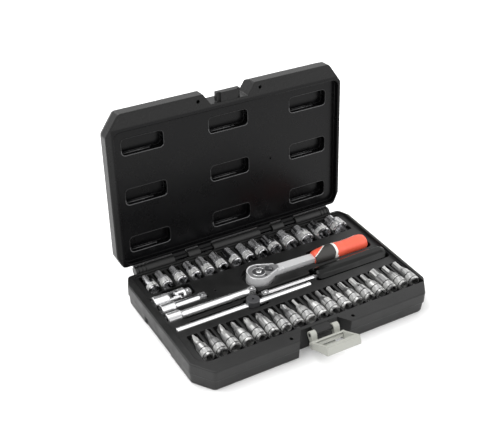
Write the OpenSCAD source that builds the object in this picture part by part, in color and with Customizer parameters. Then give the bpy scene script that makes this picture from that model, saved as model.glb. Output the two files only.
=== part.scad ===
/* [Case] */
// Width of the closed case, left to right
case_w = 275; // [270:1:290]
// Depth of the closed case, latch to hinge
case_d = 170; // [169:1:176]
// Height of the base half, underside to parting plane
base_h = 25; // [25:0.5:28]
// Height of the lid half, parting plane to outer face
lid_h = 19; // [19:0.5:24]
// Thickness of the moulded skins
wall = 1.8; // [1.5:0.1:2.2]
// How far the lid is opened from closed, in degrees
lid_open = 95.5; // [0:0.5:95.5]

/* [Lid] */
// Depth of the lid's inner panel below the parting plane
panel_depth = 6.5; // [6.5:0.25:7.5]
// Depth of the nine lid pockets below the inner panel
lid_pocket_depth = 9; // [6:0.5:9.5]
// Distance between columns of lid pockets
lid_pocket_pitch_x = 97.5; // [80:0.5:100]
// Distance between rows of lid pockets
lid_pocket_pitch_y = 55; // [40:0.5:55]

/* [Tools] */
// Across-flats of the square drives (1/4 inch)
drive_af = 6.35; // [6.30:0.01:6.35]
// Extra width of every female square over the drive
drive_play = 0.3; // [0.1:0.05:0.4]
// Distance between neighbouring bit sockets
bit_pitch = 14.25; // [14:0.05:14.3]
// Length of a bit socket with its bit
bit_len = 35; // [32:0.5:36]
// Length of a socket
socket_len = 25; // [22:0.5:25]
// Length of the long extension bar
long_ext_len = 100; // [80:1:101]
// Length of the short extension bar
short_ext_len = 50; // [40:1:52]
// Length of the sliding T-bar rod
tbar_len = 155; // [120:1:156]
// Length of the ratchet's grip
grip_len = 68; // [66:0.5:69]

/* [Hidden] */
$fn = 48;
eps = 0.01;

// moulded case
tray_z = base_h - 3;
band_h = 12;
chamfer_front = [15.3, 21.8];
chamfer_back = [6.2, 13.4];
corner_r = 5;
tray_x = [-129, 134];
tray_y = [-66, 82];
tray_r = 7;
notch_edge = 30;
notch_floor = 21.5;
notch_depth = 12.5;
rim_hole_x = 36;
rim_hole_y = -case_d/2 + 6.4;
hinge_y = case_d/2 + 6;
hinge_z = base_h - 1.9;
hinge_r = 5.2;
hinge_thin_r = 3.0;
hinge_pin_r = 1.5;
hinge_pin_len = 241;
running = 0.06;
base_knuckles = [[-121, -76], [-59.5, -45.3], [-29, 29], [45.3, 59.5], [76, 121]];
lid_knuckles = [[-75.6, -59.9], [-44.9, -29.4], [29.4, 44.9], [59.9, 75.6]];

// latch: the link turns on a bar of the base, the lever on a pin in the link's barrel
bar_y = -case_d/2 + 4.5;
bar_z = base_h - 2.7;
bar_r = 2.0;
bar_half = 16.3;
tab_half = 9.6;
link_ring_r = 3.9;
arm_in = 10.0;
arm_out = 16.3;
arm_r = 2.4;
barrel_r = 2.3;
latch_pin_r = 1.0;
latch_closed_pin = [-case_d/2 - 1.0, base_h + 6];
link_open = 91.1;
lever_open = 115;
ear_r = 3.9;
lever_len = 30;
lever_outer = -4.7;
lever_inner = 4.4;
lip_slant = 2.5;
lever_half = 19.2;
lid_tab_half = 13.5;
lid_tab_z = [base_h + 2.7, base_h + 7.6];

// tool places: sockets stand in the back row, bit sockets in the front row
socket_y = 55.5;
socket_x = [-115, -99.8, -83.2, -66.6, -51.2, -34.6, -18.4, -2.0, 14.4, 31.0, 50.6, 71.0, 93.0, 115.6];
socket_af = [4, 4.5, 5, 5.5, 6, 6.5, 7, 8, 9, 10, 11, 12, 13, 14];
socket_drive_d = 12;
bit_x0 = -115;
bit_y = -61.5;
bit_z = 21.5;
bit_body_d = 12;
bit_count = 18;
tip_len = 12;
// kind of tip and its size: blade width, cross size, star diameter or across-flats
bit_tips = [["slot", 4], ["slot", 5.5], ["slot", 7], ["cross", 4.6], ["cross", 6], ["cross", 7.4],
            ["cross", 4.6], ["cross", 6], ["star", 2.8], ["star", 3.3], ["star", 3.9], ["star", 4.5],
            ["star", 5.0], ["star", 5.6], ["hex", 4], ["hex", 8], ["hex", 5], ["hex", 6]];
row_x = -125;
ext_z = 20.5;
long_y = 8.2;
short_y = 23.3;
ujoint_y = 37.3;
ujoint_pivot = [-100, ujoint_y, ext_z];
tbar_y = -11.2;
tbar_x0 = -124.5;
tbar_r = 3.0;
thead_x = -38.5;
thead_r = 7;
thead_z = [14.5, 27.5];
spin_y = -2;
spin_z = 18.5;
spin_x = [-22, 42, 132];
ratchet_x = -11;
ratchet_y = 24;
head_r = 13;
head_z = [16, 28];
ratchet_z = 20.8;
grip_x0 = 68;
grip_r = 10.2;
lever_pivot = 10.5;
lever_angle = -50;

socket_names = [for (i = [1:14]) str("socket_", i < 10 ? "0" : "", i)];
bit_names = [for (i = [1:bit_count]) str("bit_socket_", i < 10 ? "0" : "", i)];

// ---------- outline helpers ----------
function unit(v) = v/norm(v);
// points of an arc that rounds corner b between a and c
function round_corner(a, b, c, r, n) =
    let (u = unit(a - b), v = unit(c - b), half = acos(max(-1, min(1, u*v)))/2)
    let (m = b + unit(u + v)*r/sin(half), s = b + u*r/tan(half), e = b + v*r/tan(half))
    let (a0 = atan2(s.y - m.y, s.x - m.x), a1 = atan2(e.y - m.y, e.x - m.x))
    let (turn = a1 - a0 > 180 ? a1 - a0 - 360 : (a1 - a0 < -180 ? a1 - a0 + 360 : a1 - a0))
    [for (i = [0:n]) m + r*[cos(a0 + turn*i/n), sin(a0 + turn*i/n)]];
// an outline with every corner rounded to radius r
function rounded(p, r, n = 4) = [for (i = [0:len(p) - 1])
    each round_corner(p[(i + len(p) - 1)%len(p)], p[i], p[(i + 1)%len(p)], r, n)];
// how much a chamfer's leg c[0] shrinks when the whole outline moves in by t
function leg(c, t) = let (h = norm(c)) c[0] - t*(1 - (1 - c[0]/h)/(c[1]/h));
function case_points(t) =
    let (x = case_w/2 - t, y = case_d/2 - t)
    let (fx = leg(chamfer_front, t), fy = leg([chamfer_front.y, chamfer_front.x], t))
    let (bx = leg(chamfer_back, t), by = leg([chamfer_back.y, chamfer_back.x], t))
    [[-x + fx, -y], [x - fx, -y], [x, -y + fy], [x, y - by],
     [x - bx, y], [-x + bx, y], [-x, y - by], [-x, -y + fy]];
module case_outline(t = 0) {
    polygon(rounded(case_points(t), corner_r, 3));
}
// rounded rectangle between two corners, grown by g
module pad(x, y, r, g = 0) {
    polygon(rounded([[x[0] - g, y[0] - g], [x[1] + g, y[0] - g],
                     [x[1] + g, y[1] + g], [x[0] - g, y[1] + g]], r + g, 3));
}
module box(x, y, z) {
    translate([x[0], y[0], z[0]]) cube([x[1] - x[0], y[1] - y[0], z[1] - z[0]]);
}
// cylinder along +X or +Y
module xrod(x0, x1, r) {
    translate([x0, 0, 0]) rotate([0, 90, 0]) cylinder(h = x1 - x0, r = r);
}
// profile of [distance, radius] points turned about X
module xturned(p) {
    rotate([0, 90, 0]) rotate([0, 0, 90])
        rotate_extrude() polygon([for (q = p) [q[1], q[0]]]);
}

// ---------- case ----------
// trapezoid cut in the front edge of both halves for the latch, grown by g
module latch_notch(g = 0) {
    y = -case_d/2;
    s = (notch_edge - notch_floor)/notch_depth;
    polygon([[-notch_edge - g - 2*s, y - 2], [notch_edge + g + 2*s, y - 2],
             [notch_floor + g, y + notch_depth + g], [-notch_floor - g, y + notch_depth + g]]);
}
// shallow recess in the lower wall of each side, between the corner bumpers
module side_recess(g = 0) {
    for (s = [-1, 1]) {
        x = s*case_w/2;
        polygon([[x + 2*s, -24 - g], [x - s*(3.4 + g), -19 - g],
                 [x - s*(3.4 + g), 34 + g], [x + 2*s, 39 + g]]);
    }
}
// one half's outer body, with its parting plane at z = h and its outer face at z = 0
module half_body(h) {
    translate([0, 0, h - band_h]) linear_extrude(band_h - 1) case_outline();
    hull() {
        translate([0, 0, h - 1.1]) linear_extrude(eps) case_outline();
        translate([0, 0, h - 0.45]) linear_extrude(eps) case_outline(0.25);
        translate([0, 0, h - eps]) linear_extrude(eps) case_outline(0.9);
    }
    difference() {
        hull() {
            translate([0, 0, 0]) linear_extrude(eps) case_outline(2.9);
            translate([0, 0, 1.6]) linear_extrude(eps) case_outline(2.0);
            translate([0, 0, h - band_h]) linear_extrude(eps) case_outline(0.9);
        }
        translate([0, 0, -1]) linear_extrude(h - band_h + 1) side_recess();
    }
}
// webs and barrels of the hinge, on a wall at y = case_d/2, with tabs above or below
module knuckle(x, r, web) {
    translate([0, hinge_y, hinge_z]) xrod(x[0], x[1], r);
    translate([x[0], 0, 0]) rotate([90, 0, 90]) linear_extrude(x[1] - x[0]) polygon(web);
}

// --- pockets of the tray: [x range, y range, floor z, corner radius] ---
function socket_body_d(i) = i < 8 ? socket_drive_d : socket_af[i]*1.32 + 1.2;
function socket_z(i) = 21 - (max(12, socket_body_d(i)) - 12)*0.2;
function bit_x(i) = bit_x0 + bit_pitch*i;
socket_pockets = [for (i = [0:13])
    let (w = max(12, socket_body_d(i))/2 + 0.8)
    [[socket_x[i] - w, socket_x[i] + w], [socket_y - 6, socket_y + socket_len + 0.8],
     socket_z(i) - w + 0.4, 1.6]];
bit_pockets = [for (i = [0:bit_count - 1]) each [
    [[bit_x(i) - 6.5, bit_x(i) + 6.5], [bit_y - 7, bit_y + 20], 14.8, 1.4],
    [[bit_x(i) - 5.8, bit_x(i) + 5.8], [bit_y + 17, bit_y + bit_len + 2], 15.8, 1.2]]];
bar_pockets = [
    // long extension: collar, shaft and finger space
    [[row_x - 1, row_x + 17], [long_y - 6.8, long_y + 6.8], ext_z - 6.4, 1.5],
    [[row_x + 14, row_x + long_ext_len + 1.5], [long_y - 9.5, long_y + 5], 16.0, 3],
    // short extension
    [[row_x - 1, row_x + 17], [short_y - 6.8, short_y + 6.8], ext_z - 6.4, 1.5],
    [[row_x + 14, row_x + short_ext_len + 3], [short_y - 5.2, short_y + 5.2], 16.0, 3],
    // universal joint, with room behind it and past its drive for the swing
    [[row_x - 1.5, row_x + 41], [ujoint_y - 7.1, ujoint_y + 7.1], ext_z - 7.3, 1.5],
    [[row_x + 12, row_x + 45], [ujoint_y - 6, ujoint_y + 12], ext_z - 7.3, 3],
    // T-bar rod and the deep pocket for its sliding head
    [[tbar_x0 - 0.8, tbar_x0 + tbar_len + 1.2], [tbar_y - 3.6, tbar_y + 3.6], 17.2, 2],
    [[-108, -30], [tbar_y - 3.6, tbar_y + 5.4], 17.2, 2],
    [[thead_x - 9.5, thead_x + 17], [tbar_y - 8.2, tbar_y + 8.2], 5.6, 5],
    // spinner handle: shaft and grip
    [[spin_x[0] - 2, spin_x[1] + 2], [spin_y - 4.2, spin_y + 5], 14.9, 2],
    [[spin_x[1] - 3, spin_x[2] + 1.2], [spin_y - 10.8, spin_y + 10.8], 8.2, 4],
    // ratchet shank and grip
    [[ratchet_x + 10, ratchet_x + grip_x0 + 4], [ratchet_y - 8, ratchet_y + 8], 15.0, 3],
    [[ratchet_x + grip_x0 - 4, ratchet_x + grip_x0 + grip_len + 2], [ratchet_y - 12, ratchet_y + 12.5],
     10.2, 5]];
pockets = concat(socket_pockets, bit_pockets, bar_pockets);
head_pocket_r = 18;
module tray_pockets(g = 0) {
    for (p = pockets) {
        translate([0, 0, p[2] - g]) linear_extrude(base_h) pad(p[0], p[1], p[3], g);
    }
    translate([ratchet_x, ratchet_y, head_z[0] - 0.4 - g]) cylinder(h = base_h, r = head_pocket_r + g);
    translate([ratchet_x, ratchet_y, 5.6 - g]) cylinder(h = base_h, r = 8 + g);
}
module case_base() color([0.17, 0.17, 0.17]) {
    difference() {
        union() {
            difference() {
                half_body(base_h);
                translate([0, 0, -1]) linear_extrude(base_h + 2) latch_notch();
            }
            for (x = base_knuckles) {
                knuckle(x, hinge_r, [[case_d/2 - 2, base_h - 5.5], [hinge_y - 0.5, base_h - 5.5],
                                     [hinge_y - 0.5, base_h - 0.3], [case_d/2 - 2, base_h - 0.3]]);
            }
            // tab with the bar that carries the latch link
            box([-tab_half, tab_half], [-case_d/2 + 5, -case_d/2 + notch_depth + 2], [3, base_h - 3.5]);
            translate([0, bar_y, bar_z]) xrod(-bar_half, bar_half, bar_r);
            box([-tab_half, tab_half], [bar_y, -case_d/2 + notch_depth + 2], [bar_z - bar_r, bar_z + bar_r]);
        }
        translate([0, 0, tray_z]) linear_extrude(base_h) pad(tray_x, tray_y, tray_r);
        intersection() {
            tray_pockets();
            box([tray_x[0] - 1, tray_x[1]], [-case_d, tray_y[1]], [0, base_h*2]);
        }
        // hollow between the outer and inner skins
        difference() {
            translate([0, 0, wall]) linear_extrude(tray_z - 2*wall) case_outline(4.2 + wall);
            tray_pockets(wall);
            translate([0, 0, -1]) linear_extrude(base_h) latch_notch(wall + 0.6);
            translate([0, 0, -1]) linear_extrude(base_h) side_recess(wall);
        }
        // blow holes of the moulding
        for (s = [-1, 1]) {
            translate([s*rim_hole_x, rim_hole_y, tray_z - 6]) cylinder(h = base_h, r = 1.9);
        }
        translate([-61.7, 25.3, tray_z - 3]) cylinder(h = 10, r = 1.2);
        translate([0, hinge_y, hinge_z]) xrod(-hinge_pin_len/2, hinge_pin_len/2, hinge_pin_r);
        // grooves in the outer barrels
        for (s = [-1, 1], k = [0:2]) {
            translate([s*(109.5 + 4*k) - 0.5, hinge_y, hinge_z])
                difference() {
                    xrod(0, 1, hinge_r + 1);
                    xrod(-1, 2, hinge_r - 0.8);
                }
        }
    }
}

// everything on the lid is drawn closed, then turned open about the hinge
module opened() {
    translate([0, hinge_y, hinge_z]) rotate([-lid_open, 0, 0]) translate([0, -hinge_y, -hinge_z])
        children();
}
module lid_pockets(g = 0) {
    for (i = [-1:1], j = [-1:1]) {
        x = i*lid_pocket_pitch_x + 1;
        y = j*lid_pocket_pitch_y + 8.5;
        translate([0, 0, base_h + 1]) linear_extrude(panel_depth + lid_pocket_depth + g - 1)
            pad([x - 23.2, x + 23.2], [y - 9, y + 9], 4.5, g);
    }
}
module case_lid() color([0.13, 0.13, 0.13]) opened() {
    top = base_h + lid_h;
    difference() {
        union() {
            difference() {
                translate([0, 0, top]) mirror([0, 0, 1]) half_body(lid_h);
                translate([0, 0, base_h - 1]) linear_extrude(lid_h + 2) latch_notch();
            }
            for (x = lid_knuckles) {
                knuckle(x, hinge_thin_r, [[case_d/2 - 2, base_h + 0.5], [case_d/2 + 1, base_h + 0.5],
                        [hinge_y - 2, hinge_z - 1], [hinge_y, hinge_z + hinge_thin_r - 0.2],
                        [case_d/2 + 1, base_h + 6], [case_d/2 - 2, base_h + 6]]);
            }
            // tab that the latch claw holds down
            box([-lid_tab_half, lid_tab_half], [-case_d/2 + 2.5, -case_d/2 + notch_depth + 2], lid_tab_z);
            box([-tab_half, tab_half], [-case_d/2 + 2.5, -case_d/2 + notch_depth + 2], [base_h + 0.4, base_h + 3]);
        }
        translate([0, 0, base_h - eps]) linear_extrude(panel_depth + eps) pad(tray_x, tray_y, tray_r);
        translate([0, 0, -1]) lid_pockets();
        // hollow between the skins
        difference() {
            translate([0, 0, base_h + wall]) linear_extrude(lid_h - 2*wall) case_outline(4.2 + wall);
            translate([0, 0, base_h - 1]) linear_extrude(panel_depth + wall + 1)
                pad(tray_x, tray_y, tray_r, wall);
            lid_pockets(wall);
            translate([0, 0, base_h - 1]) linear_extrude(lid_h + 2) latch_notch(wall + 0.6);
            translate([0, 0, base_h - 1]) linear_extrude(lid_h + 2) side_recess(wall);
        }
        for (s = [-1, 1]) {
            translate([s*rim_hole_x, rim_hole_y, base_h - 1]) cylinder(h = 6, r = 1.9);
        }
        translate([51, 9.3, base_h]) cylinder(h = 12, r = 1);
        translate([0, hinge_y, hinge_z]) xrod(-hinge_pin_len/2, hinge_pin_len/2, hinge_pin_r + running);
        // shallow field on the outer face
        translate([0, 0, top - 0.6]) linear_extrude(2) pad([-105, 105], [-52, 60], 8);
    }
}
module hinge_pin() color("silver") {
    translate([0, hinge_y, hinge_z]) xrod(-hinge_pin_len/2, hinge_pin_len/2, hinge_pin_r);
}

// ---------- latch, drawn closed and turned open ----------
module link_turned() {
    translate([0, bar_y, bar_z]) rotate([link_open, 0, 0]) translate([0, -bar_y, -bar_z]) children();
}
pin_closed = latch_closed_pin;
pin_arm = [pin_closed[0] - bar_y, pin_closed[1] - bar_z];
pin_open = [bar_y + pin_arm[0]*cos(link_open) - pin_arm[1]*sin(link_open),
            bar_z + pin_arm[0]*sin(link_open) + pin_arm[1]*cos(link_open)];
// the lever's own frame: x across, y outwards from the case when shut, z from tip to pin
module lever_turned() {
    translate([0, pin_open[0], pin_open[1]]) rotate([-lever_open, 0, 0]) children();
}
module latch_link() color([0.78, 0.79, 0.75]) link_turned() {
    elbow = [pin_closed[0], base_h + 0.6];
    difference() {
        union() {
            for (s = [-1, 1]) {
                x0 = s < 0 ? -arm_out : arm_in;
                translate([x0, 0, 0]) rotate([90, 0, 90]) linear_extrude(arm_out - arm_in) {
                    hull() {
                        translate([bar_y, bar_z]) circle(r = link_ring_r, $fn = 32);
                        translate(elbow) circle(r = arm_r, $fn = 32);
                    }
                    hull() {
                        translate(elbow) circle(r = arm_r, $fn = 32);
                        translate(pin_closed) circle(r = barrel_r - 0.1, $fn = 32);
                    }
                }
            }
            translate([0, pin_closed[0], pin_closed[1]]) xrod(-arm_out, arm_out, barrel_r);
        }
        translate([0, bar_y, bar_z]) xrod(-20, 20, bar_r + running);
        translate([0, pin_closed[0], pin_closed[1]]) xrod(-20, 20, latch_pin_r);
    }
}
module latch_pin() color("silver") {
    translate([0, pin_open[0], pin_open[1]]) xrod(-lever_half, lever_half, latch_pin_r);
}
module xslab(x0, x1, points) {
    translate([x0, 0, 0]) rotate([90, 0, 90]) linear_extrude(x1 - x0) polygon(points);
}
module latch_lever() color([0.78, 0.79, 0.75]) lever_turned() {
    ear_in = arm_out + 0.3;
    web = tab_half - 0.1;
    base = lip_slant - lever_len;
    difference() {
        intersection() {
            union() {
                // cheeks: round ears about the pin, drawn down to the lip
                for (x0 = [-lever_half, ear_in]) {
                    translate([x0, 0, 0]) rotate([90, 0, 90]) linear_extrude(lever_half - ear_in) {
                        circle(r = ear_r);
                        polygon([[0.4 - ear_r, 0.8], [3.3, 0.8], [3.3, -12], [lever_inner, base + 2.2],
                                 [lever_inner, base], [lever_outer, -lever_len],
                                 [lever_outer, 7.4 - lever_len], [0.1 - ear_r, -9]]);
                    }
                }
                // lip pulled by the thumb, and the outer plate behind it
                xslab(-ear_in - 1, ear_in + 1,
                      [[lever_outer + 0.05, 0.05 - lever_len], [lever_inner - 0.05, base + 0.05],
                       [lever_inner - 0.05, base + 2.1], [-2.5, 2.9 - lever_len],
                       [-2.5, 7.3 - lever_len], [lever_outer + 0.05, 7.3 - lever_len]]);
                // bridge over the link's barrel, from ear to ear
                xslab(-ear_in - 0.5, ear_in + 0.5, concat(
                    [for (a = [161:9:224]) 3.7*[cos(a), sin(a)]], [[-2.65, -2.5], [-2.65, -0.614]]));
                // web round the barrel between the arms, and the claw over the lid's tab
                xslab(-web, web, concat(
                    [for (a = [219:-18:111]) 3.85*[cos(a), sin(a)]],
                    [[-0.4, 4.6], [5.4, 4.9], [5.6, 4.7], [5.6, 1.9], [4.1, 1.9], [4.1, 3.0], [0.8, 2.6]],
                    [for (a = [90:18:216]) 2.55*[cos(a), sin(a)]]));
            }
            // rounded corners of the lip
            translate([0, 10, 0]) rotate([90, 0, 0]) linear_extrude(20)
                polygon(rounded([[-lever_half - 0.1, -lever_len - 0.1], [lever_half + 0.1, -lever_len - 0.1],
                                 [lever_half + 0.1, 7], [-lever_half - 0.1, 7]], 2.4, 5));
        }
        xrod(-20, 20, latch_pin_r + running);
    }
}

// ---------- sockets ----------
module square_hole(d) {
    s = drive_af + drive_play;
    translate([-s/2, -s/2, -1]) cube([s, s, d + 1]);
}
module hex_hole(af, d) {
    translate([0, 0, -1]) cylinder(h = d + 1, r = af/2/cos(30), $fn = 6);
}
// a socket standing on its front end; small ones have the square drive in front
module socket(i) {
    af = socket_af[i];
    nut_d = af*1.32 + 1.2;
    front = i < 8 ? socket_drive_d/2 : nut_d/2;
    back = i < 8 ? min(socket_drive_d/2 - 0.9, nut_d/2) : socket_drive_d/2;
    step = i < 8 ? 12.5 : 13.5;
    difference() {
        rotate_extrude() polygon([[0, 0], [front - 0.7, 0], [front, 0.7], [front, step - 5],
                 [front - 0.25, step - 4.8], [front - 0.25, step - 4.2], [front, step - 4],
                 [front, step], [back, step + 2.2], [back, socket_len - 0.6],
                 [back - 0.6, socket_len], [0, socket_len]]);
        if (i < 8) {
            square_hole(9);
            translate([0, 0, socket_len]) mirror([0, 0, 1]) hex_hole(af, 10);
        } else {
            hex_hole(af, 11);
            translate([0, 0, socket_len]) mirror([0, 0, 1]) square_hole(9);
        }
        translate([0, 0, 8]) cylinder(h = 10, r = min(af, drive_af)/2 - 0.6);
    }
}
module socket_in_place(i) color([0.64, 0.64, 0.64]) {
    translate([socket_x[i], socket_y, socket_z(i)]) rotate([-90, 0, 0]) rotate([0, 0, 15]) socket(i);
}

// ---------- bit sockets ----------
module tip(kind, size) {
    len = tip_len;
    if (kind == "slot") {
        intersection() {
            cylinder(h = len, r = max(3.0, size/2));
            rotate([90, 0, 0]) linear_extrude(size, center = true)
                polygon([[-3.2, -1], [3.2, -1], [3.2, 3], [0.5, len], [-0.5, len], [-3.2, 3]]);
        }
    } else if (kind == "cross") {
        difference() {
            rotate_extrude() polygon([[0, 0], [size/2, 0], [size/2, len - size*0.75], [0.7, len], [0, len]]);
            for (a = [0:90:270]) rotate([0, 0, a]) translate([size*0.13, size*0.13, len - size*0.95])
                cube(size);
        }
    } else if (kind == "star") {
        difference() {
            cylinder(h = len, r = size/2);
            for (a = [0:60:300]) rotate([0, 0, a]) translate([size*0.53, 0, 1.5])
                cylinder(h = len, r = size*0.14, $fn = 16);
        }
    } else {
        cylinder(h = len, r = size/2/cos(30), $fn = 6);
    }
}
module bit_socket(i) {
    r = bit_body_d/2;
    kind = bit_tips[i][0];
    size = bit_tips[i][1];
    neck = max(3.4, size/2/cos(30) + 0.3);
    difference() {
        rotate_extrude() polygon([[0, 0], [r - 0.6, 0], [r, 0.6], [r, 12.4], [r - 0.6, 12.9], [r - 0.6, 13.5],
                 [r - 0.5, 14], [r - 0.6, 17.5], [neck + 0.4, 21.5], [neck, 24], [0, 24]]);
        square_hole(9.5);
    }
    translate([0, 0, bit_len - tip_len]) tip(kind, size);
}
module bit_in_place(i) color([0.69, 0.69, 0.68]) {
    translate([bit_x(i), bit_y, bit_z]) rotate([-90, 0, 0]) rotate([0, 0, 10*i]) bit_socket(i);
}

// ---------- extension bars ----------
module male_square(x0, x1) {
    s = drive_af;
    intersection() {
        box([x0, x1], [-s/2, s/2], [-s/2, s/2]);
        xturned([[x0 - 1, 0], [x0 - 1, s], [x1 - 1, s], [x1, s/2 + 0.3], [x1, 0]]);
    }
}
module extension(len) {
    difference() {
        union() {
            xturned([[0, 0], [0, 5.4], [0.6, 6], [14, 6], [16.5, 4],
                     [len - 8.5, 3.9], [len - 7.5, 3.4], [len - 7.5, 0]]);
            male_square(len - 7.6, len);
            translate([len - 3.8, 0, drive_af/2 - 0.5]) sphere(r = 1.2, $fn = 24);
        }
        rotate([0, 90, 0]) square_hole(9);
    }
}
module extension_long() color([0.82, 0.82, 0.82]) {
    translate([row_x, long_y, ext_z]) extension(long_ext_len);
}
module extension_short() color([0.82, 0.82, 0.82]) {
    translate([row_x + 1, short_y, ext_z]) extension(short_ext_len);
}

// ---------- universal joint: socket yoke, cross and drive yoke ----------
yoke_r = 6.3;
yoke_gap = 3.4;
cross_pin_r = 1.6;
// two ears above and below the pivot, rounded about the pin, reaching back to x = -back
module yoke_ears(back) {
    for (m = [0, 1]) mirror([0, 0, m]) intersection() {
        xrod(-back, 4, yoke_r - 0.06);
        translate([0, 0, yoke_gap]) union() {
            cylinder(h = 10, r = 3.2);
            translate([-back - 1, -3.2, 0]) cube([back + 1, 6.4, 10]);
        }
    }
}
module ujoint_socket_yoke() color([0.82, 0.82, 0.82]) translate(ujoint_pivot) {
    difference() {
        union() {
            xturned([[-25.5, 0], [-25.5, 5.7], [-24.9, yoke_r], [-10.5, yoke_r], [-8.7, 5.2], [-8.7, 0]]);
            rotate([90, 0, 0]) yoke_ears(9.6);
        }
        translate([-25.5, 0, 0]) rotate([0, 90, 0]) square_hole(9);
        rotate([90, 0, 0]) cylinder(h = 20, r = cross_pin_r + running, center = true);
    }
}
module ujoint_cross() color([0.5, 0.5, 0.5]) translate(ujoint_pivot) {
    cube(5.6, center = true);
    rotate([90, 0, 0]) cylinder(h = 12.2, r = cross_pin_r, center = true);
    cylinder(h = 12.2, r = cross_pin_r, center = true);
}
module ujoint_drive_yoke() color([0.82, 0.82, 0.82]) translate(ujoint_pivot) {
    difference() {
        union() {
            rotate([0, 0, 180]) yoke_ears(7.6);
            xturned([[8.2, 0], [6.4, 4.9], [6.4, yoke_r], [8.6, yoke_r], [10.4, 3.6], [10.4, 0]]);
        }
        cylinder(h = 20, r = cross_pin_r + running, center = true);
    }
    male_square(8.7, 16);
    translate([12.6, 0, drive_af/2 - 0.5]) sphere(r = 1.2, $fn = 24);
}

// ---------- sliding T-bar ----------
module tbar_rod() color([0.82, 0.82, 0.82]) translate([tbar_x0, tbar_y, ext_z]) {
    xturned([[0, 0], [0, 2.2], [0.8, tbar_r], [4, tbar_r], [4.4, 2.8], [5, 2.8], [5.4, tbar_r],
             [tbar_len - 5.4, tbar_r], [tbar_len - 5, 2.8], [tbar_len - 4.4, 2.8],
             [tbar_len - 4, tbar_r], [tbar_len - 0.8, tbar_r], [tbar_len, 2.2], [tbar_len, 0]]);
}
module tbar_head() color([0.36, 0.36, 0.37]) translate([thead_x, tbar_y, 0]) {
    difference() {
        union() {
            translate([0, 0, thead_z[0]]) rotate_extrude()
                polygon([[0, 0], [5.4, 0], [thead_r, 1.6], [thead_r, thead_z[1] - thead_z[0] - 0.5],
                         [thead_r - 0.5, thead_z[1] - thead_z[0]], [0, thead_z[1] - thead_z[0]]]);
            translate([0, 0, thead_z[0] + 0.5]) rotate([0, 90, 0]) male_square(0, 8.5);
        }
        translate([0, 0, ext_z]) xrod(-20, 20, tbar_r + running);
        translate([0, 0, thead_z[1] - 2.5]) cylinder(h = 5, r = 1.3);
    }
}

// ---------- spinner handle ----------
module spinner_shaft() color([0.82, 0.82, 0.82]) translate([0, spin_y, spin_z]) {
    x0 = spin_x[0];
    xturned([[x0 + 7.5, 0], [x0 + 7.5, 2.9], [x0 + 8.5, 3.3], [spin_x[1] + 45, 3.3], [spin_x[1] + 45, 0]]);
    mirror([1, 0, 0]) male_square(-x0 - 7.6, -x0);
    translate([x0 + 3.8, 0, drive_af/2 - 0.5]) sphere(r = 1.2, $fn = 24);
}
module spinner_grip() color([0.15, 0.15, 0.15]) translate([0, spin_y, spin_z]) {
    x0 = spin_x[1];
    x1 = spin_x[2];
    difference() {
        intersection() {
            xturned([[x0, 0], [x0, 7.4], [x0 + 0.6, 8.4], [x0 + 2.4, 9.5], [x0 + 8, 9.9], [x0 + 26, 9.7],
                     [x0 + 50, 9.9], [x1 - 12, 10.2], [x1 - 6, 9.9], [x1 - 2.4, 8.6],
                     [x1 - 0.6, 6.4], [x1, 4.4], [x1, 0]]);
            rotate([0, 90, 0]) linear_extrude(x1)
                polygon(rounded([for (a = [30:60:330]) 10.9*[cos(a), sin(a)]], 4, 4));
        }
        xrod(x0 - 1, spin_x[1] + 45, 3.3);
    }
}

// ---------- ratchet: origin on the drive axis, +X towards the grip ----------
module at_ratchet() {
    translate([ratchet_x, ratchet_y, 0]) children();
}
gear_r = 7.4;
gear_teeth = 36;
module pear(g = 0) {
    hull() {
        circle(r = head_r - g, $fn = 64);
        translate([20, 0]) circle(r = 5.4 - g, $fn = 32);
    }
}
module ratchet_body() color([0.6, 0.6, 0.6]) at_ratchet() {
    top = head_z[1];
    difference() {
        union() {
            translate([0, 0, head_z[0]]) linear_extrude(top - head_z[0]) intersection() {
                pear();
                translate([-20, -20]) square([41, 40]);
            }
            // shank, thinner than the head, and its tang inside the grip
            intersection() {
                translate([0, 0, 10]) linear_extrude(20)
                    polygon([[12, -7.5], [24, -5.2], [grip_x0, -4.6],
                             [grip_x0, 4.6], [24, 5.2], [12, 7.5]]);
                translate([0, 30, 0]) rotate([90, 0, 0]) linear_extrude(60)
                    polygon([[12, 16.4], [grip_x0, 16.6], [grip_x0, 24.8], [24, 25.6], [12, 27.2]]);
            }
            translate([0, 0, ratchet_z]) xrod(grip_x0, grip_x0 + 52, 3.4);
        }
        // gear chamber with a floor lip, cover seat, pawl room and lever bore
        translate([0, 0, head_z[0] - 1]) cylinder(h = 4, r = 6.06);
        translate([0, 0, head_z[0] + 2]) cylinder(h = 20, r = 8.0);
        translate([0, 0, head_z[0] + 2]) linear_extrude(20)
            polygon([[4, -6.2], [14.5, -4.2], [14.5, 4.2], [4, 6.2]]);
        translate([0, 0, top - 2]) linear_extrude(5) pear(1.6);
        for (s = [-1, 1]) translate([4, 8.4*s, top - 6]) cylinder(h = 10, r = 0.9);
    }
}
module ratchet_cover() color([0.56, 0.56, 0.56]) at_ratchet() {
    difference() {
        translate([0, 0, head_z[1] - 2]) linear_extrude(2) pear(1.7);
        cylinder(h = 60, r = 3.1 + running);
        translate([lever_pivot, 0, 0]) cylinder(h = 60, r = 2 + running);
        for (s = [-1, 1]) {
            translate([4, 8.4*s, 0]) cylinder(h = 60, r = 0.9);
            translate([4, 8.4*s, head_z[1] - 1]) cylinder(h = 5, r = 1.6);
        }
        // seat for the direction lever
        translate([0, 0, head_z[1] - 0.8]) linear_extrude(2) hull() {
            translate([lever_pivot, 0]) circle(r = 3.2, $fn = 32);
            translate([lever_pivot + 3.6, -4]) circle(r = 2.8, $fn = 32);
            translate([lever_pivot + 3.6, 4]) circle(r = 2.8, $fn = 32);
        }
    }
}
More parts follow.
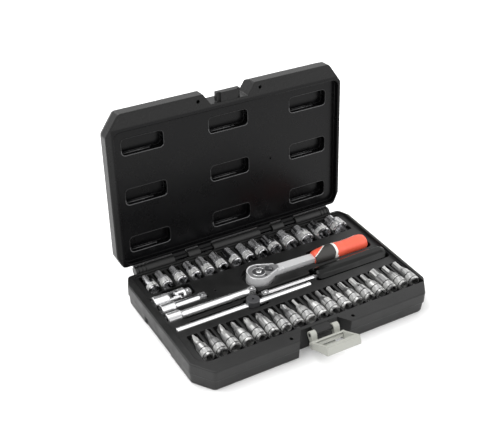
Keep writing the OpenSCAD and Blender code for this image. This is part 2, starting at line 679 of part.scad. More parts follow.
module ratchet_cover_screws() color([0.35, 0.35, 0.35]) at_ratchet() {
    for (s = [-1, 1]) translate([4, 8.4*s, 0]) difference() {
        union() {
            translate([0, 0, head_z[1] - 1]) cylinder(h = 0.9, r = 1.6);
            translate([0, 0, head_z[1] - 6]) cylinder(h = 5, r = 0.9);
        }
        translate([0, 0, head_z[1] - 0.7]) cylinder(h = 2, r = 0.8, $fn = 6);
    }
}
module ratchet_gear() color([0.7, 0.7, 0.7]) at_ratchet() {
    z = head_z[0];
    difference() {
        union() {
            translate([0, 0, z]) cylinder(h = 3, r = 6.0);
            translate([0, 0, z + 2.2]) linear_extrude(7) polygon([for (i = [0:2*gear_teeth - 1])
                let (r = i%2 == 0 ? gear_r : gear_r - 0.7, a = i*180/gear_teeth) r*[cos(a), sin(a)]]);
            translate([0, 0, z + 1]) rotate([0, 90, 0]) male_square(0, 9);
        }
        translate([0, 0, z - 20]) cylinder(h = 60, r = 1.5 + running);
        translate([0, 0, z + 8]) cylinder(h = 5, r = 3.1 + running);
    }
    translate([drive_af/2 - 0.5, 0, z - 4]) sphere(r = 1.2, $fn = 24);
}
module ratchet_pawl() color([0.45, 0.45, 0.45]) at_ratchet() {
    // rocked towards one of its two working ends
    translate([lever_pivot, 0, head_z[0] + 2.4]) rotate([0, 0, -20]) linear_extrude(6.2) difference() {
        polygon([[-2.0, -3.4], [-0.9, -3.7], [2.7, -1.7], [2.7, 1.7],
                 [-0.9, 3.7], [-2.0, 3.4], [-1.6, 1.4], [-1.6, -1.4]]);
        circle(r = 0.9 + running);
    }
}
module ratchet_direction_lever() color([0.4, 0.4, 0.4]) at_ratchet() {
    translate([lever_pivot, 0, head_z[1] - 0.7]) {
        linear_extrude(2.4) hull() {
            circle(r = 2.6, $fn = 32);
            rotate([0, 0, lever_angle]) translate([4.6, 0]) circle(r = 1.5, $fn = 32);
        }
        translate([0, 0, -2.2]) cylinder(h = 3, r = 2.0);
        translate([0, 0, head_z[0] - head_z[1] + 3.3]) cylinder(h = 8, r = 0.9);
    }
}
module ratchet_release_button() color([0.8, 0.8, 0.8]) at_ratchet() {
    translate([0, 0, head_z[1] - 2.2]) rotate_extrude()
        polygon([[0, 0], [3.1, 0], [3.1, 3.0], [2.6, 3.6], [0, 3.6]]);
    translate([0, 0, head_z[0] - 6]) cylinder(h = head_z[1] - head_z[0] + 4, r = 1.5);
}
// grip profile shared by its three pieces: outer radius along the axis
grip_profile = [[0, 6.6], [3, 8.2], [9, 9.2], [20, 10.0], [29, 9.6], [38, 8.8],
                [50, 9.2], [58, 9.9], [64, 9.4], [67, 7.6], [68, 5.5]];
module grip_solid(g = 0) {
    k = grip_len/68;
    translate([grip_x0, 0, ratchet_z])
        xturned(concat([[0, 0]], [for (p = grip_profile) [p[0]*k, p[1] - g]], [[grip_len, 0]]));
}
module sleeve_plan(g = 0) {
    translate([grip_x0, 0, 0]) linear_extrude(60)
        polygon([[4.5 - g, -14], [13 - g, 14], [28 + g, 14], [25 + g, -14]]);
}
module bands_plan(g = 0) {
    translate([grip_x0, 0, 0]) linear_extrude(60) {
        polygon([[1.5 - g, -14], [10 - g, 14], [13, 14], [4.5, -14]]);
        polygon([[25, -14], [28, 14], [29.5 + g, 14], [32 + g, -14]]);
    }
}
module ratchet_grip_core() color([0.85, 0.2, 0.12]) at_ratchet() {
    difference() {
        grip_solid();
        intersection() {
            difference() {
                grip_solid(-1);
                grip_solid(1.8);
            }
            union() {
                sleeve_plan();
                bands_plan();
            }
        }
        translate([0, 0, ratchet_z]) xrod(grip_x0 - 1, grip_x0 + 52, 3.4);
    }
}
module ratchet_grip_sleeve() color([0.2, 0.2, 0.2]) at_ratchet() {
    intersection() {
        difference() {
            grip_solid(0);
            grip_solid(1.8);
        }
        sleeve_plan();
    }
}
module ratchet_grip_bands() color([0.9, 0.9, 0.88]) at_ratchet() {
    intersection() {
        difference() {
            grip_solid(0);
            grip_solid(1.8);
        }
        bands_plan();
    }
}

case_base();
case_lid();
hinge_pin();
latch_link();
latch_pin();
latch_lever();
for (i = [0:13]) socket_in_place(i);
for (i = [0:bit_count - 1]) bit_in_place(i);
extension_long();
extension_short();
ujoint_socket_yoke();
ujoint_cross();
ujoint_drive_yoke();
tbar_rod();
tbar_head();
spinner_shaft();
spinner_grip();
ratchet_body();
ratchet_cover();
ratchet_cover_screws();
ratchet_gear();
ratchet_pawl();
ratchet_direction_lever();
ratchet_release_button();
ratchet_grip_core();
ratchet_grip_sleeve();
ratchet_grip_bands();
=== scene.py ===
import math

import bmesh
import bpy
from mathutils import Matrix, Vector


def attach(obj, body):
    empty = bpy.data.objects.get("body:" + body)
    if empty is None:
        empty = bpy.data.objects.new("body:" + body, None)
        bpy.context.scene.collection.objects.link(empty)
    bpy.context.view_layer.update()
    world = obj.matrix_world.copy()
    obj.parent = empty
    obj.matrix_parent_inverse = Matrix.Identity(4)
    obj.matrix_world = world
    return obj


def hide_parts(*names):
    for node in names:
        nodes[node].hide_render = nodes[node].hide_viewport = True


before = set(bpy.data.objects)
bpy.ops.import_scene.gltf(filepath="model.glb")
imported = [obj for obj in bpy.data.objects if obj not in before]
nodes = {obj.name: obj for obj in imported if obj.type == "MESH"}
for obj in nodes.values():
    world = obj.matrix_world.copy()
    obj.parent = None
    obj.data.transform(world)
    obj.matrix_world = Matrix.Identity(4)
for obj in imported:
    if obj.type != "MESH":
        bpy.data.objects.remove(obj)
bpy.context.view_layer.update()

# Looks of the socket wrench set in its case. The frame's origin lies under the case's centre, with
# +X right, +Y towards the hinge and +Z up. Rest is the photo's pose, with lid and latch open.
# Shapes are written in millimetres and turned into Blender's metres with MM.
MM = 0.001

# ---------------------------------------------------------------- camera
# a pinhole camera fitted to the straight edges of the case in the photo
YAW, PITCH, ROLL = math.radians(31.487), math.radians(33.467), math.radians(1.743)
CAMERA_AT = (-0.4456, -0.6650, 0.6396)
SENSOR_WIDTH, LENS, CLIP_START = 36, 70.63, 0.01

forward = Vector((math.sin(YAW) * math.cos(PITCH), math.cos(YAW) * math.cos(PITCH), -math.sin(PITCH)))
level_right = Vector((math.cos(YAW), -math.sin(YAW), 0))
level_up = level_right.cross(forward)
right = math.cos(ROLL) * level_right + math.sin(ROLL) * level_up
up = -math.sin(ROLL) * level_right + math.cos(ROLL) * level_up
cam_data = bpy.data.cameras.new("camera")
cam_data.sensor_width = SENSOR_WIDTH
cam_data.lens = LENS
cam_data.clip_start = CLIP_START
cam = bpy.data.objects.new("camera", cam_data)
bpy.context.scene.collection.objects.link(cam)
cam_matrix = Matrix((right, up, -forward)).transposed().to_4x4()
cam_matrix.translation = Vector(CAMERA_AT)
cam.matrix_world = cam_matrix
bpy.context.scene.camera = cam

# ---------------------------------------------------------------- materials
MOTTLE_SCALE = 60        # noise that varies tone and roughness
GRAIN_SCALE = 900        # fine noise of the surface grain
GRAIN_DEPTH = 0.0002     # metres
BEVEL_SAMPLES = 6


def srgb(r, g, b):
    def lin(v):
        v /= 255.0
        return v / 12.92 if v <= 0.04045 else ((v + 0.055) / 1.055) ** 2.4
    return (lin(r), lin(g), lin(b), 1)


def shade(color, factor):
    return [min(1, c * factor) for c in color[:3]] + [1]


def noise(nt, vector, scale, detail=2):
    node = nt.nodes.new("ShaderNodeTexNoise")
    node.inputs["Scale"].default_value = scale
    node.inputs["Detail"].default_value = detail
    nt.links.new(vector, node.inputs["Vector"])
    return node.outputs["Fac"]


def map_range(nt, value, from_min, from_max, to_min=0.0, to_max=1.0):
    node = nt.nodes.new("ShaderNodeMapRange")
    node.inputs["From Min"].default_value = from_min
    node.inputs["From Max"].default_value = from_max
    node.inputs["To Min"].default_value = to_min
    node.inputs["To Max"].default_value = to_max
    nt.links.new(value, node.inputs["Value"])
    return node.outputs["Result"]


def two_tones(nt, factor, color_a, color_b):
    """A mix of two plain colours."""
    mix = nt.nodes.new("ShaderNodeMix")
    mix.data_type = "RGBA"
    mix.inputs["A"].default_value = color_a
    mix.inputs["B"].default_value = color_b
    nt.links.new(factor, mix.inputs["Factor"])
    return mix.outputs["Result"]


def grained(name, rough, metal, bump, rough_vary=0.08, coat=0.0, spec=0.5, edge=0.0003):
    """A shader with uneven roughness, a fine grain and edges rounded by edge metres. Its colour is
    still open: returned are the material and the noise that a colour can follow."""
    mt = bpy.data.materials.new(name)
    mt.use_nodes = True
    nt = mt.node_tree
    shader = nt.nodes["Principled BSDF"]
    shader.inputs["Metallic"].default_value = metal
    shader.inputs["Coat Weight"].default_value = coat
    shader.inputs["Coat Roughness"].default_value = 0.15
    shader.inputs["Specular IOR Level"].default_value = spec
    coords = nt.nodes.new("ShaderNodeTexCoord").outputs["Object"]
    mottle = noise(nt, coords, MOTTLE_SCALE, 4)
    uneven = map_range(nt, mottle, 0.3, 0.7, max(0.02, rough - rough_vary), min(1, rough + rough_vary))
    nt.links.new(uneven, shader.inputs["Roughness"])
    grain = nt.nodes.new("ShaderNodeBump")
    grain.inputs["Strength"].default_value = bump
    grain.inputs["Distance"].default_value = GRAIN_DEPTH
    nt.links.new(noise(nt, coords, GRAIN_SCALE, 3), grain.inputs["Height"])
    nt.links.new(grain.outputs["Normal"], shader.inputs["Normal"])
    if edge:
        bevel = nt.nodes.new("ShaderNodeBevel")
        bevel.samples = BEVEL_SAMPLES
        bevel.inputs["Radius"].default_value = edge
        nt.links.new(bevel.outputs["Normal"], grain.inputs["Normal"])
    return mt, mottle


def material(name, color, rough, metal=0.0, vary=0.15, bump=0.05, **looks):
    """Plastic or plain metal whose tone varies a little, by the part vary of its colour."""
    mt, mottle = grained(name, rough, metal, bump, **looks)
    nt = mt.node_tree
    tone = two_tones(nt, mottle, shade(color, 1 - vary), shade(color, 1 + vary))
    nt.links.new(tone, nt.nodes["Principled BSDF"].inputs["Base Color"])
    return mt


def painted_reflection_chrome(name, dark, bright, rough, metal, stretch, scale, low=0.42, high=0.58):
    """Chrome with broad light and dark streaks along the piece, which are painted reflections, over a
    fine satin grain.
    """
    mt, _ = grained(name, rough, metal, bump=0.08, coat=0.3)
    nt = mt.node_tree
    coords = nt.nodes.new("ShaderNodeTexCoord")
    mapping = nt.nodes.new("ShaderNodeMapping")
    mapping.inputs["Scale"].default_value = stretch
    nt.links.new(coords.outputs["Object"], mapping.inputs["Vector"])
    ramp = nt.nodes.new("ShaderNodeValToRGB")
    for stop, position, color in zip(ramp.color_ramp.elements, (low, high), (dark, bright)):
        stop.position = position
        stop.color = color
    nt.links.new(noise(nt, mapping.outputs["Vector"], scale), ramp.inputs["Fac"])
    nt.links.new(ramp.outputs["Color"], nt.nodes["Principled BSDF"].inputs["Base Color"])
    return mt


def lighter_outside(mt, low, high, color):
    """A second, speckled tone outside a box: the outer skin shows another tone than the panel.
    A side given as None is left open."""
    soft = 0.0015
    nt = mt.node_tree
    base_color = nt.nodes["Principled BSDF"].inputs["Base Color"]
    panel_tone = base_color.links[0].from_socket
    coords = nt.nodes.new("ShaderNodeTexCoord").outputs["Object"]
    axes = nt.nodes.new("ShaderNodeSeparateXYZ")
    nt.links.new(coords, axes.inputs[0])
    outside = None
    for axis, sides in enumerate(zip(low, high)):
        for side, sign in zip(sides, (-1, 1)):
            if side is None:
                continue
            past = map_range(nt, axes.outputs[axis], side, side + sign * soft)
            if outside is None:
                outside = past
                continue
            either = nt.nodes.new("ShaderNodeMath")
            either.operation = "MAXIMUM"
            nt.links.new(outside, either.inputs[0])
            nt.links.new(past, either.inputs[1])
            outside = either.outputs[0]
    skin_tone = two_tones(nt, noise(nt, coords, 700), shade(color, 0.6), shade(color, 1.4))
    mix = nt.nodes.new("ShaderNodeMix")
    mix.data_type = "RGBA"
    nt.links.new(outside, mix.inputs["Factor"])
    nt.links.new(panel_tone, mix.inputs["A"])
    nt.links.new(skin_tone, mix.inputs["B"])
    nt.links.new(mix.outputs["Result"], base_color)


ALONG_X, ALONG_Y = (0.04, 1, 1), (1, 0.04, 1)
M = {
    # moulded plastics
    "tray": material("moulded_black", srgb(24, 24, 24), 0.4, vary=0.18, bump=0.3, edge=0.0011, spec=0.36),
    "lid": material("moulded_black_lid", srgb(6, 6, 7), 0.28, vary=0.2, bump=0.1, rough_vary=0.02,
                    edge=0.0012, spec=0.16),
    # lip: a light grey on the black lid that paints the highlights on the pockets' lower lip edges and
    # inner ledges
    "lip": material("lip_painted_highlight", srgb(74, 74, 75), 0.16, vary=0.2, edge=0),
    "pocket": material("moulded_black_pocket", srgb(15, 15, 16), 0.3, vary=0.2, bump=0.1, edge=0),
    # a mid grey on the black lid that paints highlight lines: the crease at the panel's edge, the low
    # ledges in the pockets and the hinge strips
    "painted_sheen": material("moulded_black_painted_sheen", srgb(40, 40, 41), 0.25, vary=0.2, bump=0.1, edge=0),
    "latch": material("moulded_grey", srgb(158, 159, 152), 0.45, vary=0.05, bump=0.15, edge=0.0008),
    "red": material("red_plastic", srgb(240, 96, 70), 0.4, vary=0.05, edge=0.0006),
    "sleeve": material("dark_rubber", srgb(52, 50, 48), 0.5, vary=0.1, edge=0.0006),
    "white": material("white_plastic", srgb(235, 234, 230), 0.4, vary=0.03),
    "black": material("black_plastic", srgb(4, 5, 4), 0.16, edge=0.0014, spec=0.26),
    # metals
    "pin": material("wire", srgb(190, 190, 190), 0.3, 1.0),
    "dark": material("phosphated", srgb(78, 78, 80), 0.45, 0.5),
    # a near black for rings that paint the shade of the grooves on sockets and bits
    "groove": material("groove_painted_shade", srgb(20, 20, 21), 0.5, 0.3, edge=0),
    "ratchet": material("ratchet_chrome", srgb(136, 136, 137), 0.34, 0.4, vary=0.06, bump=0.03),
    "shank": material("shank_chrome", srgb(228, 228, 229), 0.24, 0.3, vary=0.05, bump=0.02),
    # the streaked chrome below carries painted reflections: dark and bright streaks in its colour;
    # band_back is the band with lighter painted reflections, for the back row
    "satin": painted_reflection_chrome("socket_chrome", srgb(48, 48, 50), srgb(226, 226, 228), 0.24, 0.8,
                      (1, 0.03, 1), 260, 0.4, 0.56),
    "bit": painted_reflection_chrome("bit_chrome", srgb(104, 104, 104), srgb(190, 190, 188), 0.38, 0.6, ALONG_Y, 260),
    "bright": painted_reflection_chrome("bright_chrome", srgb(120, 120, 122), srgb(244, 244, 245), 0.2, 0.8,
                       ALONG_X, 200, 0.32, 0.5),
    "band": painted_reflection_chrome("satin_band", srgb(140, 140, 140), srgb(196, 196, 194), 0.42, 0.45,
                     (1, 0.2, 1), 400),
    "band_back": painted_reflection_chrome("satin_band_back", srgb(172, 172, 172), srgb(230, 230, 228), 0.36, 0.4,
                          (1, 0.2, 1), 400),
}
lighter_outside(M["lid"], (-0.1306, None, None), (0.1356, None, 0.1822), srgb(30, 30, 30))
lighter_outside(M["tray"], (-0.1306, -0.0720, None), (0.1356, 0.0850, None), srgb(22, 22, 22))

NODES_OF = {
    "tray": ["case_base"],
    "lid": ["case_lid"],
    "latch": ["latch_link", "latch_lever"],
    "pin": ["hinge_pin", "latch_pin"],
    "bright": ["extension_long", "extension_short", "ujoint_socket_yoke", "ujoint_drive_yoke",
               "tbar_rod", "spinner_shaft", "ratchet_release_button"],
    "dark": ["ujoint_cross", "tbar_head", "ratchet_cover_screws", "ratchet_pawl",
             "ratchet_direction_lever"],
    "shank": ["ratchet_body"],
    "ratchet": ["ratchet_cover", "ratchet_gear"],
    "red": ["ratchet_grip_core"],
    "sleeve": ["ratchet_grip_sleeve"],
    "white": ["ratchet_grip_bands"],
    "black": ["spinner_grip"],
    "satin": ["socket_%02d" % i for i in range(1, 15)],
    "bit": ["bit_socket_%02d" % i for i in range(1, 19)],
}
for key, names in NODES_OF.items():
    for name in names:
        slots = nodes[name].data.materials
        slots.clear()
        slots.append(M[key])


# ---------------------------------------------------------------- ways to make a piece
def mesh_piece(name, verts, faces, mat, smooth=True):
    me = bpy.data.meshes.new(name)
    me.from_pydata(verts, [], faces)
    me.update()
    bm = bmesh.new()
    bm.from_mesh(me)
    bmesh.ops.recalc_face_normals(bm, faces=bm.faces)
    bm.to_mesh(me)
    bm.free()
    me.materials.append(M[mat])
    for f in me.polygons:
        f.use_smooth = smooth
    return me


def place(name, mesh, at, body):
    """Put a mesh at a point in mm and let it ride on a body."""
    o = bpy.data.objects.new(name, mesh)
    bpy.context.scene.collection.objects.link(o)
    o.location = Vector(at) * MM
    bpy.context.view_layer.update()
    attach(o, body)
    return o


def ring_faces(rings, n, closed=False):
    """Quads between rings of n points each; closed joins the last ring to the first."""
    faces = []
    for j in range(rings if closed else rings - 1):
        here, there = j * n, (j + 1) % rings * n
        for i in range(n):
            k = (i + 1) % n
            faces.append((here + i, here + k, there + k, there + i))
    return faces


def turned(name, profile, mat, n, ridge=0.0, rows=()):
    """A ring turned about Y from (distance along Y, radius) points. The rows named in rows carry a
    knurl: every second point stands proud by ridge, staggered from row to row."""
    verts = []
    for j, (y, r) in enumerate(profile):
        for i in range(n):
            proud = r + (ridge if j in rows and (i + j) % 2 else 0.0)
            a = 2 * math.pi * i / n
            verts.append((proud * math.cos(a) * MM, y * MM, proud * math.sin(a) * MM))
    return mesh_piece(name, verts, ring_faces(len(profile), n), mat, smooth=not ridge)


def tube(name, pts, r, mat, body, closed=True, n=8):
    """A smooth round strip of radius r along points given where they lie at rest."""
    pts = [Vector(q) for q in pts]
    lean = Vector((0.31, 0.24, 0.92))       # along no strip's own direction
    k = len(pts)
    verts = []
    for j, q in enumerate(pts):
        before = pts[(j - 1) % k] if closed or j else q
        after = pts[(j + 1) % k] if closed or j < k - 1 else q
        along = (after - before).normalized()
        side = along.cross(lean).normalized()
        over = along.cross(side)
        for i in range(n):
            w = 2 * math.pi * i / n
            verts.append((q + r * (math.cos(w) * side + math.sin(w) * over)) * MM)
    faces = ring_faces(k, n, closed)
    if not closed:
        faces.append(tuple(range(n)))
        faces.append(tuple((k - 1) * n + i for i in range(n)))
    return place(name, mesh_piece(name, verts, faces, mat), (0, 0, 0), body)


def rounded_loop(x0, x1, y0, y1, r, n=6):
    corners = ((x1 - r, y1 - r, 0), (x0 + r, y1 - r, 90), (x0 + r, y0 + r, 180), (x1 - r, y0 + r, 270))
    return [(cx + r * math.cos(math.radians(start + 90 * i / n)),
             cy + r * math.sin(math.radians(start + 90 * i / n)))
            for cx, cy, start in corners for i in range(n + 1)]


# ---------------------------------------------------------------- sockets: knurls, and grooves in painted shade
RING_SINK = 0.3          # how far a ring's edges reach into the tool


def knurl(name, r, y0, y1, mat):
    step, proud, slope = 0.75, 0.03, 0.15
    m = max(3, int((y1 - y0) / step))
    profile = [(y0 - slope, r - RING_SINK), (y0, r + proud)]
    profile += [(y0 + (y1 - y0) * (j + 1) / (m + 1), r + proud) for j in range(m)]
    profile += [(y1, r + proud), (y1 + slope, r - RING_SINK)]
    return turned(name, profile, mat, 64, ridge=0.14, rows=range(2, m + 2))


def groove(name, r, y0, y1):
    # a near black ring a hair proud of the tool: painted shade where the groove lies
    inner, outer = r - RING_SINK, r + 0.05
    return turned(name, [(y0, inner), (y0, outer), (y1, outer), (y1, inner)], "groove", 48)


BIT_X0, BIT_PITCH, BIT_Y, BIT_Z, BIT_R = -115, 14.25, -61.5, 21.5, 6.0
bit_rings = (("band", knurl("bit_band", BIT_R, 3.4, 9.6, "band")),
             ("groove_a", groove("bit_groove_a", BIT_R, 2.3, 3.1)),
             ("groove_b", groove("bit_groove_b", BIT_R, 9.9, 10.9)))
for i in range(18):
    for part, mesh in bit_rings:
        place("bit_socket_%02d_%s" % (i + 1, part), mesh, (BIT_X0 + BIT_PITCH * i, BIT_Y, BIT_Z),
              "tool_bit_socket_%02d" % (i + 1))

SOCKET_Y, SOCKET_Z, SOCKET_D = 55.5, 21, 12
SOCKET_X = [-115, -99.8, -83.2, -66.6, -51.2, -34.6, -18.4, -2.0, 14.4, 31.0, 50.6, 71.0, 93.0, 115.6]
SOCKET_AF = [4, 4.5, 5, 5.5, 6, 6.5, 7, 8, 9, 10, 11, 12, 13, 14]
for i, (x, af) in enumerate(zip(SOCKET_X, SOCKET_AF)):
    # from 9 mm up, a socket is wider than the drive's end and lies a little deeper
    d = SOCKET_D if i < 8 else af * 1.32 + 1.2
    at = (x, SOCKET_Y, SOCKET_Z - (d - SOCKET_D) * 0.2)
    tag, body = "socket_%02d" % (i + 1), "tool_socket_%02d" % (i + 1)
    place(tag + "_band", knurl(tag + "_band", d / 2, 1.9, 7.6, "band_back"), at, body)
    place(tag + "_groove_a", groove(tag + "_groove_a", d / 2, 1.1, 1.7), at, body)

# ---------------------------------------------------------------- lid: pocket lips and hinge strips, with painted highlights
HINGE_Y, HINGE_Z, LID_OPEN = 91.0, 23.1, math.radians(95.5)


def opened(x, y, z):
    """A point of the shut lid, where it stands open at rest."""
    dy, dz = y - HINGE_Y, z - HINGE_Z
    c, s = math.cos(LID_OPEN), math.sin(LID_OPEN)
    return (x, HINGE_Y + dy * c + dz * s, HINGE_Z - dy * s + dz * c)


def lid_strip(name, pts, z, r, mat, closed=False):
    tube(name, [opened(x, y, z) for x, y in pts], r, mat, "lid", closed)


POCKET_PITCH_X, POCKET_PITCH_Y = 97.5, 55
POCKET_MID_X, POCKET_MID_Y = 1, 8.5
POCKET_HALF_X, POCKET_HALF_Y, POCKET_CORNER = 23.3, 9.1, 4.6


def pocket_low_edge(cx, cy):
    """The part of a pocket's lip that gets a painted highlight: one end, the lower side and most of the
    far corner.
    """
    x0, x1 = cx - POCKET_HALF_X, cx + POCKET_HALF_X - POCKET_CORNER
    y1 = cy + POCKET_HALF_Y - POCKET_CORNER
    pts = [(x0, cy + 2.5), (x0, cy + 4.4)]
    for a in map(math.radians, range(10, 91, 16)):
        pts.append((x0 + POCKET_CORNER * (1 - math.cos(a)), y1 + POCKET_CORNER * math.sin(a)))
    pts.append((x1, cy + POCKET_HALF_Y))
    for a in map(math.radians, range(10, 61, 16)):
        pts.append((x1 + POCKET_CORNER * math.sin(a), y1 + POCKET_CORNER * math.cos(a)))
    return pts


for i in (-1, 0, 1):
    for j in (-1, 0, 1):
        cx, cy = i * POCKET_PITCH_X + POCKET_MID_X, j * POCKET_PITCH_Y + POCKET_MID_Y
        outline = rounded_loop(cx - POCKET_HALF_X, cx + POCKET_HALF_X,
                               cy - POCKET_HALF_Y, cy + POCKET_HALF_Y, POCKET_CORNER)
        tag = "lid_pocket_%d%d" % (i + 2, j + 2)
        # per pocket: a dark lip loop, then lighter strips that paint highlights on the lip's lower edge
        # and on two ledges inside
        lid_strip(tag + "_lip", outline, 31.55, 0.42, "pocket", closed=True)
        lid_strip(tag + "_lip_highlight", pocket_low_edge(cx, cy), 31.35, 0.5, "lip")
        lid_strip(tag + "_ledge", [(cx - 21, cy + 8.3), (cx + 9, cy + 8.3)], 36.0, 0.55, "lip")
        lid_strip(tag + "_ledge_low", [(cx - 22, cy + 8.4), (cx + 15, cy + 8.4)], 39.5, 0.4, "painted_sheen")
# a grey strip along the crease where the panel meets the rim: a painted highlight
lid_strip("lid_panel_painted_sheen", [(-122, -66.0), (127, -66.0)], 31.4, 0.35, "painted_sheen")

# strips on the lid that close the gap over the base's hinge barrels, in a grey that paints their
# highlight
STRIP_X = ((-121, -76), (-59.5, -45.3), (-29, 29), (45.3, 59.5), (76, 121))
STRIP_R, STRIP_END_GAP = 5.36, 0.3
strip_section = [(HINGE_Y - STRIP_R * math.cos(a), HINGE_Z + STRIP_R * math.sin(a))
                 for a in map(math.radians, range(20, 51, 5))]
strip_section += [(85.6, 29.4), (84.3, 29.0), (84.3, 25.7), (84.9, 25.2)]
for k, (x0, x1) in enumerate(STRIP_X):
    n = len(strip_section)
    verts = [Vector(opened(x, y, z)) * MM
             for x in (x0 + STRIP_END_GAP, x1 - STRIP_END_GAP) for y, z in strip_section]
    faces = ring_faces(2, n) + [tuple(range(n)), tuple(range(n, 2 * n))]
    name = "lid_hinge_strip_%d" % (k + 1)
    place(name, mesh_piece(name, verts, faces, "painted_sheen", smooth=False), (0, 0, 0), "lid")

# ---------------------------------------------------------------- ratchet: button, rim, lever ribs
RATCHET_X, RATCHET_Y, HEAD_TOP, HEAD_R = -11.0, 24.0, 28.0, 12.75
LEVER_DX, LEVER_TURN = 10.5, math.radians(-50)


def flat_ring(name, r0, r1, h, mat, n=64):
    """A thin ring on top of the ratchet's head, with a chamfered outer edge."""
    profile = [(0, r0), (h, r0 + 0.1), (h, r1 - 0.35), (h * 0.35, r1), (0, r1)]
    verts = []
    for height, r in profile:
        for i in range(n):
            a = 2 * math.pi * i / n
            verts.append((r * math.cos(a) * MM, r * math.sin(a) * MM, (HEAD_TOP + height) * MM))
    mesh = mesh_piece(name, verts, ring_faces(len(profile), n), mat)
    place(name, mesh, (RATCHET_X, RATCHET_Y, 0), "ratchet")


flat_ring("ratchet_button_disc", 3.3, 6.6, 0.35, "dark")
flat_ring("ratchet_button_ring", 6.7, 7.3, 0.2, "bright")
head_rim = [(RATCHET_X + HEAD_R * math.cos(a), RATCHET_Y + HEAD_R * math.sin(a), HEAD_TOP - 0.05)
            for a in map(math.radians, range(48, 313, 6))]
tube("ratchet_head_rim", head_rim, 0.32, "bright", "ratchet", closed=False)
for k in range(4):
    reach, rib_half, rib_z = 2.2 + 0.9 * k, 1.1, HEAD_TOP + 1.75
    cx = RATCHET_X + LEVER_DX + reach * math.cos(LEVER_TURN)
    cy = RATCHET_Y + reach * math.sin(LEVER_TURN)
    dx, dy = -rib_half * math.sin(LEVER_TURN), rib_half * math.cos(LEVER_TURN)
    tube("direction_lever_rib_%d" % (k + 1), [(cx - dx, cy - dy, rib_z), (cx + dx, cy + dy, rib_z)],
         0.22, "pin", "direction_lever", closed=False)

# ---------------------------------------------------------------- ratchet grip: three shells
# A red handle with a slanted soft band between white stripes. A point of the grip is u, the distance
# along it from its front end, and th, the angle in degrees from the top towards the case's back.
GRIP_X0, GRIP_Z, GRIP_LEN = RATCHET_X + 68, 20.8, 68
GRIP_RADII = [(0, 6.6), (1.2, 7.6), (3, 8.3), (9, 9.2), (20, 10.0), (29, 9.6), (38, 8.9), (50, 9.2),
              (58, 9.8), (63, 9.5), (66, 8.3), (67.4, 6.9), (68, 5.0)]
GRIP_CELLS_U, GRIP_CELLS_TH = 170, 96
GRIP_PROUD = {"red": 0.0, "sleeve": 0.22, "white": 0.12}
GRIP_INNER = -0.6
GRIP_NODES = {"red": "ratchet_grip_core", "sleeve": "ratchet_grip_sleeve", "white": "ratchet_grip_bands"}


def grip_radius(u):
    for (a, ra), (b, rb) in zip(GRIP_RADII, GRIP_RADII[1:]):
        if u <= b:
            return ra + (rb - ra) * (u - a) / (b - a)
    return GRIP_RADII[-1][1]


def grip_zone(u, th):
    """The colour of a point: the white stripes slant round the grip."""
    front = min(9.0 + 0.255 * th, 15.0) if th >= 0 else max(-4.0, 9.0 + 0.26 * th)
    back = 24.6 if th > -50 else 24.6 - 0.065 * (-50 - th)
    if 30 < u < 60 and 44 < th < 49:
        return "white"
    if u < front:
        return "red"
    if u < front + 2.3 and th > -70:
        return "white"
    if u < back:
        return "sleeve"
    if u < back + (4.7 if th < -80 else 3.1):
        return "white"
    return "red"


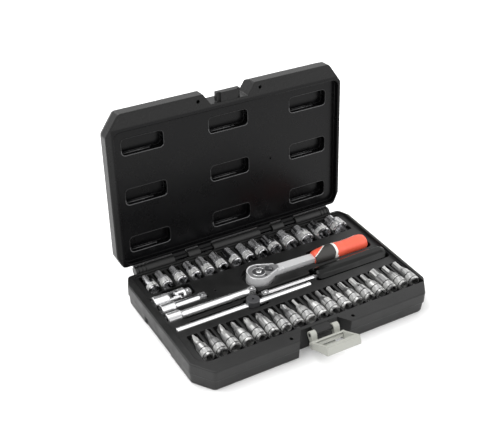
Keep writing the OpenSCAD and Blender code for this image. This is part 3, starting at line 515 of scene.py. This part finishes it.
def grip_shell(name, key, cells):
    """The skin over the cells of one colour, with walls down where another colour begins."""
    verts, faces, index = [], [], {}

    def vert(iu, it, wall):
        it %= GRIP_CELLS_TH
        if (iu, it, wall) not in index:
            u = GRIP_LEN * iu / GRIP_CELLS_U
            a = math.radians(-180 + 360 * it / GRIP_CELLS_TH)
            r = grip_radius(u) + (GRIP_INNER if wall else GRIP_PROUD[key])
            index[iu, it, wall] = len(verts)
            verts.append(((GRIP_X0 + u) * MM, (RATCHET_Y + r * math.sin(a)) * MM,
                          (GRIP_Z + r * math.cos(a)) * MM))
        return index[iu, it, wall]

    own = set(cells)
    for iu, it in cells:
        corners = ((iu, it), (iu + 1, it), (iu + 1, it + 1), (iu, it + 1))
        faces.append([vert(*c, 0) for c in corners])
        sides = (((iu - 1, it), corners[0], corners[3]), ((iu + 1, it), corners[1], corners[2]),
                 ((iu, (it - 1) % GRIP_CELLS_TH), corners[0], corners[1]),
                 ((iu, (it + 1) % GRIP_CELLS_TH), corners[3], corners[2]))
        for neighbour, p, q in sides:
            if neighbour not in own:
                faces.append([vert(*p, 0), vert(*q, 0), vert(*q, 1), vert(*p, 1)])
    if key == "red":
        for end in (0, GRIP_CELLS_U):
            faces.append([vert(end, it, 1) for it in range(GRIP_CELLS_TH)])
    return mesh_piece(name, verts, faces, key)


grip_cells = {key: [] for key in GRIP_NODES}
for iu in range(GRIP_CELLS_U):
    for it in range(GRIP_CELLS_TH):
        u, th = GRIP_LEN * (iu + 0.5) / GRIP_CELLS_U, -180 + 360 * (it + 0.5) / GRIP_CELLS_TH
        grip_cells[grip_zone(u, th)].append((iu, it))
for key, node in GRIP_NODES.items():
    name = "ratchet_grip_%s_shell" % key
    shell = place(name, grip_shell(name, key, grip_cells[key]), (0, 0, 0), "ratchet")
    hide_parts(node)

# ---------------------------------------------------------------- stage
floor_mesh = bpy.data.meshes.new("floor")
floor_mesh.from_pydata([(-4, -4, 0), (4, -4, 0), (4, 4, 0), (-4, 4, 0)], [], [(0, 1, 2, 3)])
floor = bpy.data.objects.new("floor", floor_mesh)
bpy.context.scene.collection.objects.link(floor)
floor_mat = bpy.data.materials.new("floor")
floor_mat.use_nodes = True
floor_shader = floor_mat.node_tree.nodes["Principled BSDF"]
floor_shader.inputs["Base Color"].default_value = (0.97, 0.97, 0.97, 1)
floor_shader.inputs["Roughness"].default_value = 0.9
floor_shader.inputs["Specular IOR Level"].default_value = 0.1
floor_mesh.materials.append(floor_mat)
world = bpy.data.worlds.new("world")
bpy.context.scene.world = world
world.use_nodes = True
background = world.node_tree.nodes["Background"]
background.inputs["Color"].default_value = (1, 1, 1, 1)
background.inputs["Strength"].default_value = 1.2


def area_light(name, at, target, size, power):
    light = bpy.data.lights.new(name, "AREA")
    light.energy = power
    light.size = size
    o = bpy.data.objects.new(name, light)
    bpy.context.scene.collection.objects.link(o)
    o.location = at
    o.rotation_euler = (Vector(target) - Vector(at)).to_track_quat("-Z", "Y").to_euler()


area_light("key", (-0.9, 0.3, 1.6), (0, 0, 0), 1.4, 13)
area_light("fill", (1.4, -1.2, 1.0), (0, 0, 0.05), 1.2, 6)
area_light("rim", (-0.2, 1.5, 1.5), (0, 0.1, 0.15), 0.8, 22)
bpy.context.scene.view_settings.view_transform = "Standard"
